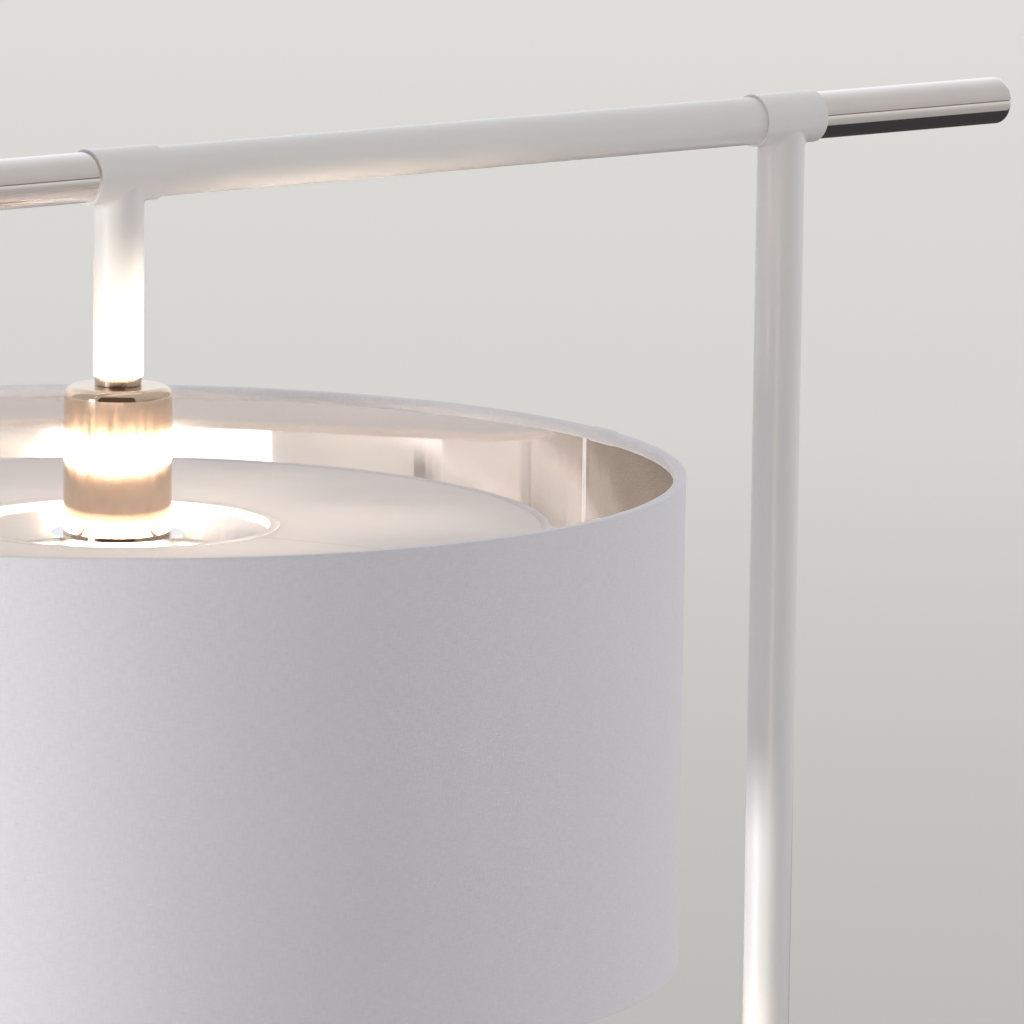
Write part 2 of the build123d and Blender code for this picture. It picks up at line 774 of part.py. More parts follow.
with BuildPart() as bulb_filaments:
    with BuildSketch(height_plane(rim_z + filament_bottom, drop_x)):
        with PolarLocations(filament_ring_r, filament_count):
            Circle(filament_r)
    extrude(amount=filament_top - filament_bottom)
bulb_filaments.part.label = "bulb_filaments"
export_step(bulb_filaments.part, "parts/bulb_filaments.step")

# ---- shade ----

drum_edge = trim_roof + edge_gap
for skin_name, skin_outer, skin_inner in (
    ("shade_fabric", shade_r, lining_r),
    ("shade_lining", lining_r, lining_inner_r),
):
    with BuildPart() as skin:
        with BuildSketch(height_plane(shade_bottom_z + drum_edge, drop_x)):
            Circle(skin_outer)
            Circle(skin_inner, mode=Mode.SUBTRACT)
        extrude(amount=shade_height - 2 * drum_edge)
    skin.part.label = skin_name
    export_step(skin.part, f"parts/{skin_name}.step")

# rolled edges: a channel of cloth folded over the drum's edge and its wire
for trim_name, edge_z, inward in (
    ("top_trim", 0.0, -1),
    ("bottom_trim", -shade_height, 1),
):
    with BuildPart() as trim:
        with BuildSketch(shade_plane):
            with Locations(((trim_inner_r + trim_outer_r) / 2, edge_z + inward * trim_height / 2)):
                section = Rectangle(trim_outer_r - trim_inner_r, trim_height)
            chamfer(section.vertices().group_by(Axis.Y)[0 if inward > 0 else -1], trim_bevel)
            channel_inner = trim_inner_r + trim_wall
            channel_depth = trim_height - trim_roof
            with Locations(
                (
                    (channel_inner + shade_r) / 2,
                    edge_z + inward * (trim_roof + channel_depth / 2),
                )
            ):
                Rectangle(shade_r - channel_inner, channel_depth, mode=Mode.SUBTRACT)
        revolve(axis=Axis((drop_x, 0, rim_z), (0, 0, 1)))
    trim.part.label = trim_name
    export_step(trim.part, f"parts/{trim_name}.step")

# wire frame: a flat fitter ring, arms bent up inside the drum, and a wire ring at the top
with BuildPart() as fitter_ring:
    with BuildSketch(height_plane(rim_z + fitter_bottom, drop_x)):
        Circle(fitter_r)
        Circle(skirt_r + slip, mode=Mode.SUBTRACT)
    extrude(amount=fitter_thickness)
fitter_ring.part.label = "fitter_ring"
export_step(fitter_ring.part, "parts/fitter_ring.step")

with BuildPart() as spider_arms:
    for arm in range(arm_count):
        angle = math.radians(first_arm_angle + arm * 360 / arm_count)
        outward = (math.cos(angle), math.sin(angle), 0)
        arm_side = Plane((drop_x, 0, rim_z), x_dir=outward, z_dir=(math.sin(angle), -math.cos(angle), 0))
        with BuildLine(arm_side) as arm_route:
            FilletPolyline(
                (fitter_r - spider_wire_r, spider_level),
                (wire_ring_r, spider_level),
                (wire_ring_r, wire_level),
                radius=spider_bend,
            )
        with BuildSketch(Plane(origin=arm_route.line @ 0, z_dir=arm_route.line % 0)):
            Circle(spider_wire_r)
        sweep(path=arm_route.line)
    # the welded ends are shaped to the rings that they meet
    with BuildSketch(height_plane(rim_z + spider_level, drop_x)):
        Circle(fitter_r)
    extrude(amount=fitter_thickness, both=True, mode=Mode.SUBTRACT)
    with BuildSketch(shade_plane):
        with Locations((wire_ring_r, wire_level)):
            Circle(wire_r)
    revolve(axis=Axis((drop_x, 0, rim_z), (0, 0, 1)), mode=Mode.SUBTRACT)
spider_arms.part.label = "spider_arms"
export_step(spider_arms.part, "parts/spider_arms.step")

for wire_name, wire_z in (("top_wire", wire_level), ("bottom_wire", -shade_height - wire_level)):
    with BuildPart() as edge_wire:
        with BuildSketch(shade_plane):
            with Locations((wire_ring_r, wire_z)):
                Circle(wire_r)
        revolve(axis=Axis((drop_x, 0, rim_z), (0, 0, 1)))
    edge_wire.part.label = wire_name
    export_step(edge_wire.part, f"parts/{wire_name}.step")

# ---- diffuser disc ----

disc_bottom = spider_level + spider_wire_r
disc_edge_height = -disc_below_rim - disc_bottom
panel_top = -disc_below_rim - panel_below_edge
panel_middle = panel_top - panel_thickness / 2
for edge_name, ring_inner, slot_middle in (
    ("disc_outer_edge", disc_r - disc_edge_width, disc_r - disc_edge_width),
    ("disc_inner_edge", disc_hole_r, disc_hole_r + disc_edge_width),
):
    with BuildPart() as disc_edge:
        with BuildSketch(shade_plane):
            with Locations((ring_inner + disc_edge_width / 2, disc_bottom + disc_edge_height / 2)):
                section = Rectangle(disc_edge_width, disc_edge_height)
            fillet(section.vertices(), disc_edge_round)
            with Locations((slot_middle, panel_middle)):
                Rectangle(2 * panel_in_edge, panel_thickness, mode=Mode.SUBTRACT)
        revolve(axis=Axis((drop_x, 0, rim_z), (0, 0, 1)))
    disc_edge.part.label = edge_name
    export_step(disc_edge.part, f"parts/{edge_name}.step")

with BuildPart() as diffuser_panel:
    with BuildSketch(height_plane(rim_z + panel_top, drop_x)):
        Circle(disc_r - disc_edge_width + panel_in_edge)
        Circle(disc_hole_r + disc_edge_width - panel_in_edge, mode=Mode.SUBTRACT)
    extrude(amount=-panel_thickness)
diffuser_panel.part.label = "diffuser_panel"
export_step(diffuser_panel.part, "parts/diffuser_panel.step")

# small saddles under the panel that hook over the spider's arms
clip_top = panel_top - panel_thickness
with BuildPart() as disc_clips:
    for arm in range(arm_count):
        angle = math.radians(first_arm_angle + arm * 360 / arm_count)
        outward = (math.cos(angle), math.sin(angle), 0)
        clip_plane = Plane(
            (
                drop_x + (clip_place_r - clip_length / 2) * outward[0],
                (clip_place_r - clip_length / 2) * outward[1],
                rim_z,
            ),
            x_dir=(-math.sin(angle), math.cos(angle), 0),
            z_dir=outward,
        )
        with BuildSketch(clip_plane):
            with Locations((0, clip_top - clip_height / 2)):
                Rectangle(clip_width, clip_height)
            slot_r = spider_wire_r + clip_gap
            slot_floor = clip_top - clip_height
            with Locations((0, (spider_level + slot_floor) / 2)):
                Rectangle(2 * slot_r, spider_level - slot_floor, mode=Mode.SUBTRACT)
            with Locations((0, spider_level)):
                Circle(slot_r, mode=Mode.SUBTRACT)
        extrude(amount=clip_length)
disc_clips.part.label = "disc_clips"
export_step(disc_clips.part, "parts/disc_clips.step")
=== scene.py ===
import math

import bpy
from mathutils import Matrix, Vector


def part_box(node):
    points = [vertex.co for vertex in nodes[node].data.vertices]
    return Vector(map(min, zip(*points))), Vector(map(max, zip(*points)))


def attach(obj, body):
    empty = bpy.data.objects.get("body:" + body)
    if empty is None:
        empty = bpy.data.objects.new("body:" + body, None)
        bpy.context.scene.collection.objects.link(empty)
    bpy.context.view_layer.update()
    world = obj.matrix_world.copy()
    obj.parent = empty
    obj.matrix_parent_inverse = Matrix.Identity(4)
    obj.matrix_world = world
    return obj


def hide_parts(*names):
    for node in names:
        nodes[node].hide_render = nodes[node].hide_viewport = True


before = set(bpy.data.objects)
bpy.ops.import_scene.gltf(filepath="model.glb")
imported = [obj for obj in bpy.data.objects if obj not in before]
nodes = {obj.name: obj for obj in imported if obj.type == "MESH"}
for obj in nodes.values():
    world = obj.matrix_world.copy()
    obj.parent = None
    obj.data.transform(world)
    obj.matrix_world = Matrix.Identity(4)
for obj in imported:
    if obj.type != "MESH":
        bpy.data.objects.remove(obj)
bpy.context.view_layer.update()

full = 2 * math.pi
mm = 0.001

# ---- places, all taken from the frame ----

clothLow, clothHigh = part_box("shade_fabric")
shadeX = (clothLow.x + clothHigh.x) / 2
shadeR = (clothHigh.x - clothLow.x) / 2
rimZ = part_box("top_trim")[1].z
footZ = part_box("bottom_trim")[0].z
armZ = (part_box("arm_tube")[0].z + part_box("arm_tube")[1].z) / 2
panelLow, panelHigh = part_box("diffuser_panel")
seamAngle = math.radians(-9.6)  # where the shade's cloth and edge tapes lap
foilSeam = math.radians(-5.8)  # where the lining's ends meet

print("stage: frame loaded,", len(nodes), "nodes")

# ---- camera ----

viewpoint = {
    "place": (-2.4238, -2.6918, 1.9608),
    "aim": (-0.25595, -0.13075, 1.42374),
    "roll": 0.0130,
    "lens": 305.2,
    "sensor": 36.0,
}


def setCamera(v):
    data = bpy.data.cameras.new("lampCamera")
    data.lens = v["lens"]
    data.sensor_width = v["sensor"]
    data.clip_start = 0.05
    data.clip_end = 200.0
    camera = bpy.data.objects.new("lampCamera", data)
    bpy.context.scene.collection.objects.link(camera)
    forward = Vector(v["aim"]) - Vector(v["place"])
    turn = forward.to_track_quat("-Z", "Y").to_matrix().to_4x4()
    camera.matrix_world = Matrix.Translation(v["place"]) @ turn @ Matrix.Rotation(v["roll"], 4, "Z")
    bpy.context.scene.camera = camera


setCamera(viewpoint)
bpy.context.scene.view_settings.view_transform = "Standard"

# ---- node helpers ----


def addNode(tree, kind, values=None, **settings):
    made = tree.nodes.new(kind)
    for key, value in settings.items():
        setattr(made, key, value)
    for key, value in (values or {}).items():
        made.inputs[key].default_value = value
    return made


def join(tree, start, startName, end, endName):
    tree.links.new(start.outputs[startName], end.inputs[endName])


def newFinish(name):
    made = bpy.data.materials.new(name)
    made.use_nodes = True
    made.node_tree.nodes.clear()
    return made, made.node_tree


def scaled(tree, stretch, source="Object"):
    where = addNode(tree, "ShaderNodeTexCoord")
    mapping = addNode(tree, "ShaderNodeMapping")
    mapping.inputs["Scale"].default_value = stretch
    join(tree, where, source, mapping, "Vector")
    return mapping


def noise(tree, stretch, detail=2.0, source="Object", roughness=0.5):
    made = addNode(tree, "ShaderNodeTexNoise", {"Scale": 1.0, "Detail": detail, "Roughness": roughness})
    join(tree, scaled(tree, stretch, source), "Vector", made, "Vector")
    return made


def between(tree, source, sourceName, low, high, fromLow=0.3, fromHigh=0.7):
    made = addNode(tree, "ShaderNodeMapRange", {
        "From Min": fromLow, "From Max": fromHigh, "To Min": low, "To Max": high})
    join(tree, source, sourceName, made, "Value")
    return made


def tint(tree, source, sourceName, dark, light, low=0.3, high=0.7):
    ramp = addNode(tree, "ShaderNodeValToRGB")
    ramp.color_ramp.elements[0].position = low
    ramp.color_ramp.elements[0].color = (*dark, 1)
    ramp.color_ramp.elements[1].position = high
    ramp.color_ramp.elements[1].color = (*light, 1)
    join(tree, source, sourceName, ramp, "Fac")
    return ramp


def calc(tree, operation, a, b=None):
    made = addNode(tree, "ShaderNodeMath", operation=operation)
    for place, value in enumerate((a, b)):
        if value is None:
            continue
        if isinstance(value, (int, float)):
            made.inputs[place].default_value = value
        else:
            tree.links.new(value, made.inputs[place])
    return made.outputs[0]


def surface(name, look):
    made, tree = newFinish(name)
    shader = addNode(tree, "ShaderNodeBsdfPrincipled", {
        "Metallic": look.get("metal", 0.0),
        "IOR": look.get("ior", 1.5),
        "Coat Weight": look.get("coat", 0.0),
        "Coat Roughness": look.get("coatRough", 0.05),
        "Sheen Weight": look.get("sheen", 0.0),
        "Specular IOR Level": look.get("gloss", 0.5),
    })
    size = look.get("mottle", 0.02)
    cloud = noise(tree, (1 / size,) * 3, 3.0)
    dark = tuple(c * (1 - look.get("vary", 0.03)) for c in look["colour"])
    join(tree, tint(tree, cloud, "Fac", dark, look["colour"]), "Color", shader, "Base Color")
    stretch = look.get("stretch", (1, 1, 1))
    grain = look.get("grain", 0.001)
    fine = noise(tree, tuple(s / grain for s in stretch), 2.0)
    rough = look["rough"]
    spread = look.get("roughVary", 0.15)
    join(tree, between(tree, fine, "Fac", rough * (1 - spread), rough * (1 + spread)),
         "Result", shader, "Roughness")
    bump = addNode(tree, "ShaderNodeBump", {
        "Strength": look.get("bump", 0.1), "Distance": look.get("depth", 0.0002)})
    if look.get("sidesOnly"):  # flat top stays clean
        facing = addNode(tree, "ShaderNodeNewGeometry")
        split = addNode(tree, "ShaderNodeSeparateXYZ")
        join(tree, facing, "Normal", split, "Vector")
        upright = calc(tree, "SUBTRACT", 1.0, calc(tree, "ABSOLUTE", split.outputs["Z"]))
        tree.links.new(calc(tree, "MULTIPLY", fine.outputs["Fac"], upright), bump.inputs["Height"])
    else:
        join(tree, fine, "Fac", bump, "Height")
    join(tree, bump, "Normal", shader, "Normal")
    out = addNode(tree, "ShaderNodeOutputMaterial")
    join(tree, shader, "BSDF", out, "Surface")
    return made


# ---- finishes of the hard pieces ----

looks = {
    "white_paint": {"colour": (0.79, 0.775, 0.78), "rough": 0.36, "coat": 0.6, "coatRough": 0.16,
                    "grain": 0.003, "bump": 0.012, "depth": 0.0001, "mottle": 0.03, "vary": 0.015},
    "polished_nickel": {"colour": (0.83, 0.785, 0.765), "metal": 1.0, "rough": 0.07, "grain": 0.004,
                        "bump": 0.004, "depth": 0.0001, "mottle": 0.01, "vary": 0.03},
    "white_wire": {"colour": (0.74, 0.73, 0.71), "rough": 0.38, "grain": 0.0008, "bump": 0.12},
    "zinc_steel": {"colour": (0.62, 0.63, 0.64), "metal": 1.0, "rough": 0.28, "grain": 0.0006,
                   "bump": 0.15, "mottle": 0.004, "vary": 0.15},
    "cast_iron": {"colour": (0.09, 0.09, 0.092), "metal": 0.6, "rough": 0.62, "grain": 0.0015,
                  "bump": 0.6, "depth": 0.0006, "vary": 0.25},
    "felt": {"colour": (0.035, 0.035, 0.038), "rough": 0.95, "sheen": 0.4, "grain": 0.0007,
             "bump": 0.8, "depth": 0.0006, "mottle": 0.003, "vary": 0.4},
    "black_rubber": {"colour": (0.02, 0.02, 0.021), "rough": 0.6, "grain": 0.0005, "bump": 0.2},
    "brass": {"colour": (0.80, 0.60, 0.30), "metal": 1.0, "rough": 0.25, "grain": 0.0006,
              "bump": 0.1, "mottle": 0.005, "vary": 0.12},
    "white_plastic": {"colour": (0.79, 0.78, 0.75), "rough": 0.35, "grain": 0.0009, "bump": 0.08},
    "clear_plastic": {"colour": (0.85, 0.86, 0.86), "rough": 0.2, "grain": 0.001, "bump": 0.05},
    "flex_sheath": {"colour": (0.72, 0.71, 0.69), "rough": 0.5, "grain": 0.0006, "bump": 0.1},
    "black_glass": {"colour": (0.012, 0.012, 0.014), "rough": 0.08, "grain": 0.001, "bump": 0.02},
    "bulb_metal": {"colour": (0.72, 0.71, 0.68), "metal": 1.0, "rough": 0.22, "grain": 0.0006,
                   "bump": 0.1, "mottle": 0.004, "vary": 0.12},
    "clear_glass": {"colour": (0.9, 0.9, 0.9), "rough": 0.08, "grain": 0.001, "bump": 0.02},
}
finishes = {name: surface(name, look) for name, look in looks.items()}

# a rougher, darker copy of the polished nickel for the neck ring: the darker, warmer base colour is painted
# shade standing for the dark reflection on the ring
neckNickelPaintedShade = surface("satin_nickel_painted_shade", {
    "colour": (0.62, 0.50, 0.42), "metal": 1.0, "rough": 0.30, "grain": 0.0012,
    "bump": 0.02, "mottle": 0.006, "vary": 0.08})
# a darker, warmer copy of the polished nickel for the cup: its tint is painted reflection of the dark room
# and the warm lit shade
cupNickelPaintedReflection = surface("cup_nickel_painted_reflection", {
    "colour": (0.78, 0.61, 0.47), "metal": 1.0, "rough": 0.085, "grain": 0.0016,
    "stretch": (1, 1, 0.12), "bump": 0.2, "depth": 0.00016, "sidesOnly": True,
    "mottle": 0.008, "vary": 0.10})

# ---- glowing glass of the bulb ----

glow = {"colour": (1.0, 0.78, 0.56), "strength": 68.0}


def glowingGlass(name, g):
    made, tree = newFinish(name)
    shader = addNode(tree, "ShaderNodeBsdfPrincipled", {
        "Base Color": (0.92, 0.9, 0.86, 1), "Roughness": 0.5, "Emission Strength": g["strength"]})
    cloud = noise(tree, (60, 60, 60), 2.0)
    dim = tuple(c * 0.93 for c in g["colour"])
    join(tree, tint(tree, cloud, "Fac", dim, g["colour"]), "Color", shader, "Emission Color")
    out = addNode(tree, "ShaderNodeOutputMaterial")
    join(tree, shader, "BSDF", out, "Surface")
    return made


finishes["frosted_glass"] = glowingGlass("frosted_glass", glow)
finishes["filament"] = glowingGlass("filament", {"colour": (1.0, 0.7, 0.35), "strength": 80.0})

# ---- woven cloth of the shade and its edge tapes ----

weave = {
    "thread": 0.00042,   # pitch of the threads
    "light": (0.808, 0.797, 0.843),
    "dark": (0.734, 0.724, 0.769),
    "slubLong": 0.0042,  # length and width of the thick places in a thread
    "slubWide": 0.00038,
    "rough": 0.85,
}


def wovenCloth(name, w):
    made, tree = newFinish(name)
    shader = addNode(tree, "ShaderNodeBsdfPrincipled", {
        "Roughness": w["rough"], "Sheen Weight": 0.15, "Sheen Roughness": 0.4,
        "Specular IOR Level": 0.25})
    where = addNode(tree, "ShaderNodeTexCoord")
    split = addNode(tree, "ShaderNodeSeparateXYZ")
    join(tree, where, "UV", split, "Vector")
    turns = math.pi / w["thread"]
    wobble = noise(tree, (90, 90, 1), 2.0, "UV")
    sway = calc(tree, "MULTIPLY", wobble.outputs["Fac"], 3.0)
    warp = calc(tree, "SINE", calc(tree, "ADD", calc(tree, "MULTIPLY", split.outputs["X"], turns), sway))
    weft = calc(tree, "SINE", calc(tree, "ADD", calc(tree, "MULTIPLY", split.outputs["Y"], turns), sway))
    crossing = calc(tree, "MULTIPLY", warp, weft)
    along = noise(tree, (1 / w["slubLong"], 1 / w["slubWide"], 1), 1.5, "UV")
    upright = noise(tree, (1 / w["slubWide"], 1 / w["slubLong"], 1), 1.5, "UV")
    cloud = noise(tree, (22, 22, 1), 3.0, "UV")
    slubs = calc(tree, "MULTIPLY", calc(tree, "ADD", along.outputs["Fac"], upright.outputs["Fac"]), 0.5)
    patches = calc(tree, "MULTIPLY", cloud.outputs["Fac"], 0.08)
    tone = calc(tree, "ADD", calc(tree, "MULTIPLY", slubs, 0.92), patches)
    tone = calc(tree, "ADD", tone, calc(tree, "MULTIPLY", crossing, 0.04))
    ramp = addNode(tree, "ShaderNodeValToRGB")
    ramp.color_ramp.elements[0].position = 0.36
    ramp.color_ramp.elements[0].color = (*w["dark"], 1)
    ramp.color_ramp.elements[1].position = 0.62
    ramp.color_ramp.elements[1].color = (*w["light"], 1)
    tree.links.new(tone, ramp.inputs["Fac"])
    join(tree, ramp, "Color", shader, "Base Color")
    height = calc(tree, "ADD", calc(tree, "MULTIPLY", crossing, 0.35), slubs)
    bump = addNode(tree, "ShaderNodeBump", {"Strength": 0.35, "Distance": 0.00018})
    tree.links.new(height, bump.inputs["Height"])
    join(tree, bump, "Normal", shader, "Normal")
    out = addNode(tree, "ShaderNodeOutputMaterial")
    join(tree, shader, "BSDF", out, "Surface")
    return made


finishes["shade_cloth"] = wovenCloth("shade_cloth", weave)

# ---- translucent cloth of the diffuser ----

armAngles = [math.radians(52.5 + 120 * k) for k in range(3)]
armShadowHalfWidth = 1.7 * mm  # half width of the painted shadow line that each arm under the cloth casts on it


# painted shadow: a soft dark line along each spider arm, standing in for the shadow the bulb casts of the arm
# through the cloth
def paintedArmShadow(tree):
    where = addNode(tree, "ShaderNodeTexCoord")
    split = addNode(tree, "ShaderNodeSeparateXYZ")
    join(tree, where, "UV", split, "Vector")
    x, y = split.outputs["X"], split.outputs["Y"]
    total = None
    for angle in armAngles:
        c, s = math.cos(angle), math.sin(angle)
        beside = calc(tree, "ABSOLUTE", calc(tree, "SUBTRACT", calc(tree, "MULTIPLY", y, c),
                                             calc(tree, "MULTIPLY", x, s)))
        along = calc(tree, "ADD", calc(tree, "MULTIPLY", x, c), calc(tree, "MULTIPLY", y, s))
        near = addNode(tree, "ShaderNodeMapRange", {
            "From Min": 0.0, "From Max": armShadowHalfWidth, "To Min": 1.0, "To Max": 0.0,
        }, interpolation_type="SMOOTHSTEP")
        tree.links.new(beside, near.inputs["Value"])
        part = calc(tree, "MULTIPLY", near.outputs["Result"], calc(tree, "GREATER_THAN", along, 0.0))
        total = part if total is None else calc(tree, "ADD", total, part)
    return total


def sheerCloth(name, share):
    made, tree = newFinish(name)
    cloud = noise(tree, (30, 30, 1), 3.0, "UV")
    threads = noise(tree, (1500, 1500, 1), 1.0, "UV")
    tone = tint(tree, cloud, "Fac", (0.84, 0.805, 0.80), (0.88, 0.85, 0.845))
    shader = addNode(tree, "ShaderNodeBsdfPrincipled", {"Roughness": 0.7, "Specular IOR Level": 0.3})
    through = addNode(tree, "ShaderNodeBsdfTranslucent")
    through.inputs["Color"].default_value = (0.86, 0.84, 0.86, 1)
    mix = addNode(tree, "ShaderNodeMixShader", {"Fac": share})
    bump = addNode(tree, "ShaderNodeBump", {"Strength": 0.2, "Distance": 0.0002})
    join(tree, threads, "Fac", bump, "Height")
    # the arms' painted shadow darkens the cloth's base colour
    shadow = addNode(tree, "ShaderNodeMix", data_type="RGBA", blend_type="MULTIPLY")
    shadow.inputs["B"].default_value = (0.86, 0.85, 0.85, 1)
    tree.links.new(paintedArmShadow(tree), shadow.inputs["Factor"])
    tree.links.new(tone.outputs["Color"], shadow.inputs["A"])
    tree.links.new(shadow.outputs["Result"], shader.inputs["Base Color"])
    join(tree, bump, "Normal", shader, "Normal")
    tree.links.new(shader.outputs["BSDF"], mix.inputs[1])
    tree.links.new(through.outputs["BSDF"], mix.inputs[2])
    out = addNode(tree, "ShaderNodeOutputMaterial")
    join(tree, mix, "Shader", out, "Surface")
    return made


finishes["diffuser_cloth"] = sheerCloth("diffuser_cloth", 0.34)
finishes["diffuser_trim"] = sheerCloth("diffuser_trim", 0.26)

# ---- mirror foil of the lining ----


def mirrorFoil(name):
    made, tree = newFinish(name)
    shader = addNode(tree, "ShaderNodeBsdfPrincipled", {"Metallic": 0.95, "Roughness": 0.05})
    cloud = noise(tree, (12, 30, 1), 3.0, "UV")
    silver = tint(tree, cloud, "Fac", (0.935, 0.912, 0.912), (0.97, 0.952, 0.955))
    join(tree, silver, "Color", shader, "Base Color")
    haze = noise(tree, (25, 60, 1), 3.0, "UV")
    join(tree, between(tree, haze, "Fac", 0.03, 0.08), "Result", shader, "Roughness")
    creases = noise(tree, (55, 5, 1), 2.0, "UV")
    bump = addNode(tree, "ShaderNodeBump", {"Strength": 0.25, "Distance": 0.0006})
    join(tree, creases, "Fac", bump, "Height")
    join(tree, bump, "Normal", shader, "Normal")
    out = addNode(tree, "ShaderNodeOutputMaterial")
    join(tree, shader, "BSDF", out, "Surface")
    return made


finishes["silver_foil"] = mirrorFoil("silver_foil")

print("stage: finishes made")

# ---- every CAD node that stays gets its slot's finish ----

for name, part in nodes.items():
    slotName = part.data.materials[0].name.split(".")[0]
    part.data.materials.clear()
    part.data.materials.append(finishes[slotName])

# the neck ring takes the nickel copy whose darker colour is painted shade
nodes["neck_ring"].data.materials[0] = neckNickelPaintedShade
# the cup takes the nickel copy whose tint is painted reflection
nodes["lampholder_cup"].data.materials[0] = cupNickelPaintedReflection

# ---- mesh helpers ----


def newPiece(name, points, faces, uvs, finishName, body="shade", flatFaces=()):
    mesh = bpy.data.meshes.new(name)
    mesh.from_pydata(points, [], faces)
    layer = mesh.uv_layers.new(name="cut")
    for loop in mesh.loops:
        layer.data[loop.index].uv = uvs[loop.vertex_index]
    flat = set(flatFaces)
    mesh.polygons.foreach_set("use_smooth", [i not in flat for i in range(len(mesh.polygons))])
    mesh.update()
    if flat:
        mesh.set_sharp_from_angle(angle=math.radians(55))  # cut edges stay crisp
    piece = bpy.data.objects.new(name, mesh)
    bpy.context.scene.collection.objects.link(piece)
    mesh.materials.append(finishes[finishName])
    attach(piece, body)
    return piece


def smoothLoop(corners, per=5, closed=True):
    made = []
    count = len(corners)
    last = count if closed else count - 1
    for i in range(last):
        if closed:
            a, b, c, d = (corners[(i + k) % count] for k in (-1, 0, 1, 2))
        else:
            a, b, c, d = (corners[min(max(i + k, 0), count - 1)] for k in (-1, 0, 1, 2))
        for step in range(per):
            t = step / per
            made.append(tuple(
                0.5 * (2 * b[k] + (c[k] - a[k]) * t + (2 * a[k] - 5 * b[k] + 4 * c[k] - d[k]) * t * t
                       + (3 * b[k] - a[k] - 3 * c[k] + d[k]) * t ** 3) for k in (0, 1)))
    if not closed:
        made.append(tuple(corners[-1]))
    return made


def around(angle, radius, z):
    return (shadeX + radius * math.cos(angle), radius * math.sin(angle), z)


def ringPiece(name, section, steps, finishName, radius, body="shade"):
    points, uvs, faces = [], [], []
    rows = len(section(0.0))
    for i in range(steps):
        angle = full * i / steps
        loop = section(angle)
        run = 0.0
        for j, (r, z) in enumerate(loop):
            if j:
                run += math.dist(loop[j], loop[j - 1])
            points.append(around(angle, r, z))
            uvs.append((angle * radius, run))
    for i in range(steps):
        for j in range(rows):
            a = i * rows + j
            b = i * rows + (j + 1) % rows
            c = ((i + 1) % steps) * rows + (j + 1) % rows
            d = ((i + 1) % steps) * rows + j
            faces.append((a, d, c, b))
    return newPiece(name, points, faces, uvs, finishName, body)


def sheetPiece(name, front, back, uvGrid, finishName, body="shade", wrap=False):
    columns = len(front)
    rows = len(front[0])
    points = [p for column in front for p in column] + [p for column in back for p in column]
    uvs = [p for column in uvGrid for p in column] * 2
    shift = columns * rows
    faces, cutEdges = [], []
    for i in range(columns if wrap else columns - 1):
        n = (i + 1) % columns
        for j in range(rows - 1):
            a, b, c, d = i * rows + j, n * rows + j, n * rows + j + 1, i * rows + j + 1
            faces.append((a, b, c, d))
            faces.append((shift + d, shift + c, shift + b, shift + a))
        for j, flip in ((0, False), (rows - 1, True)):
            a, b = i * rows + j, n * rows + j
            edge = (a, shift + a, shift + b, b)
            cutEdges.append(len(faces))
            faces.append(edge[::-1] if flip else edge)
    if not wrap:
        for i, flip in ((0, True), (columns - 1, False)):
            for j in range(rows - 1):
                a, b = i * rows + j, i * rows + j + 1
                edge = (a, shift + a, shift + b, b)
                cutEdges.append(len(faces))
                faces.append(edge[::-1] if flip else edge)
    return newPiece(name, points, faces, uvs, finishName, body, cutEdges)


def drumWave(angle, z, size):
    # slow, small departures of a hand-rolled drum from a true circle
    up = (z - footZ) / (rimZ - footZ)
    return size * (0.5 * math.sin(3 * angle + 0.7) + 0.3 * math.sin(5 * angle + 2.1 + up)
                   + 0.2 * math.sin(9 * angle - 1.3 + 2 * up)) * 4 * up * (1 - up)


# ---- the shade's cloth, one strip rolled into a drum with a glued lap ----

drum = {
    "clothThick": 0.4 * mm,
    "lap": 0.020,        # width of the glued overlap
    "lapRise": 0.42 * mm,
    "foilThick": 0.12 * mm,
    "foilDepth": 0.62 * mm,  # lining's outer face inside the cloth's outer face
    "ramp": 0.004,       # length over which the upper layer climbs
    "columns": 540,
    "rows": 26,
    "wave": 0.25 * mm,
}


def rolledStrip(name, seam, outer, thick, low, high, finishName, lap, lapRise):
    lapAngle = lap / shadeR
    start, end = seam - lapAngle, seam + full
    front, back, flat = [], [], []
    for i in range(drum["columns"] + (1 if lap else 0)):
        angle = start + (end - start) * i / drum["columns"]
        gone = (angle - (end - lapAngle - drum["ramp"] / shadeR)) * shadeR / drum["ramp"]
        share = min(max(gone, 0.0), 1.0)
        rise = lapRise * share * share * (3 - 2 * share)
        frontColumn, backColumn, flatColumn = [], [], []
        for j in range(drum["rows"] + 1):
            z = low + (high - low) * j / drum["rows"]
            r = outer + rise + drumWave(angle, z, drum["wave"])
            frontColumn.append(around(angle, r, z))
            backColumn.append(around(angle, r - thick, z))
            flatColumn.append((angle * shadeR, z))
        front.append(frontColumn)
        back.append(backColumn)
        flat.append(flatColumn)
    return sheetPiece(name, front, back, flat, finishName, wrap=not lap)


shadeCloth = rolledStrip("shadeCloth", seamAngle, shadeR, drum["clothThick"], clothLow.z, clothHigh.z,
                         "shade_cloth", drum["lap"], drum["lapRise"])
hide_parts("shade_fabric")
shadeLining = rolledStrip("shadeLining", foilSeam, shadeR - drum["foilDepth"], drum["foilThick"],
                          clothLow.z, clothHigh.z, "silver_foil", 0.0, 0.0)
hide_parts("shade_lining")

# ---- rolled edge tapes of the shade ----

tape = {
    "thick": 0.35 * mm,
    "outerDrop": 1.6 * mm,  # how far the tape reaches down the outside and inside
    "innerDrop": 5.4 * mm,
    "proud": 0.02 * mm,
    "inner": 0.2198,
    "lap": 0.014,
    "lapRise": 0.5 * mm,
    "steps": 540,
    "lapThick": 0.3 * mm,
    "lapColumns": 14,
}


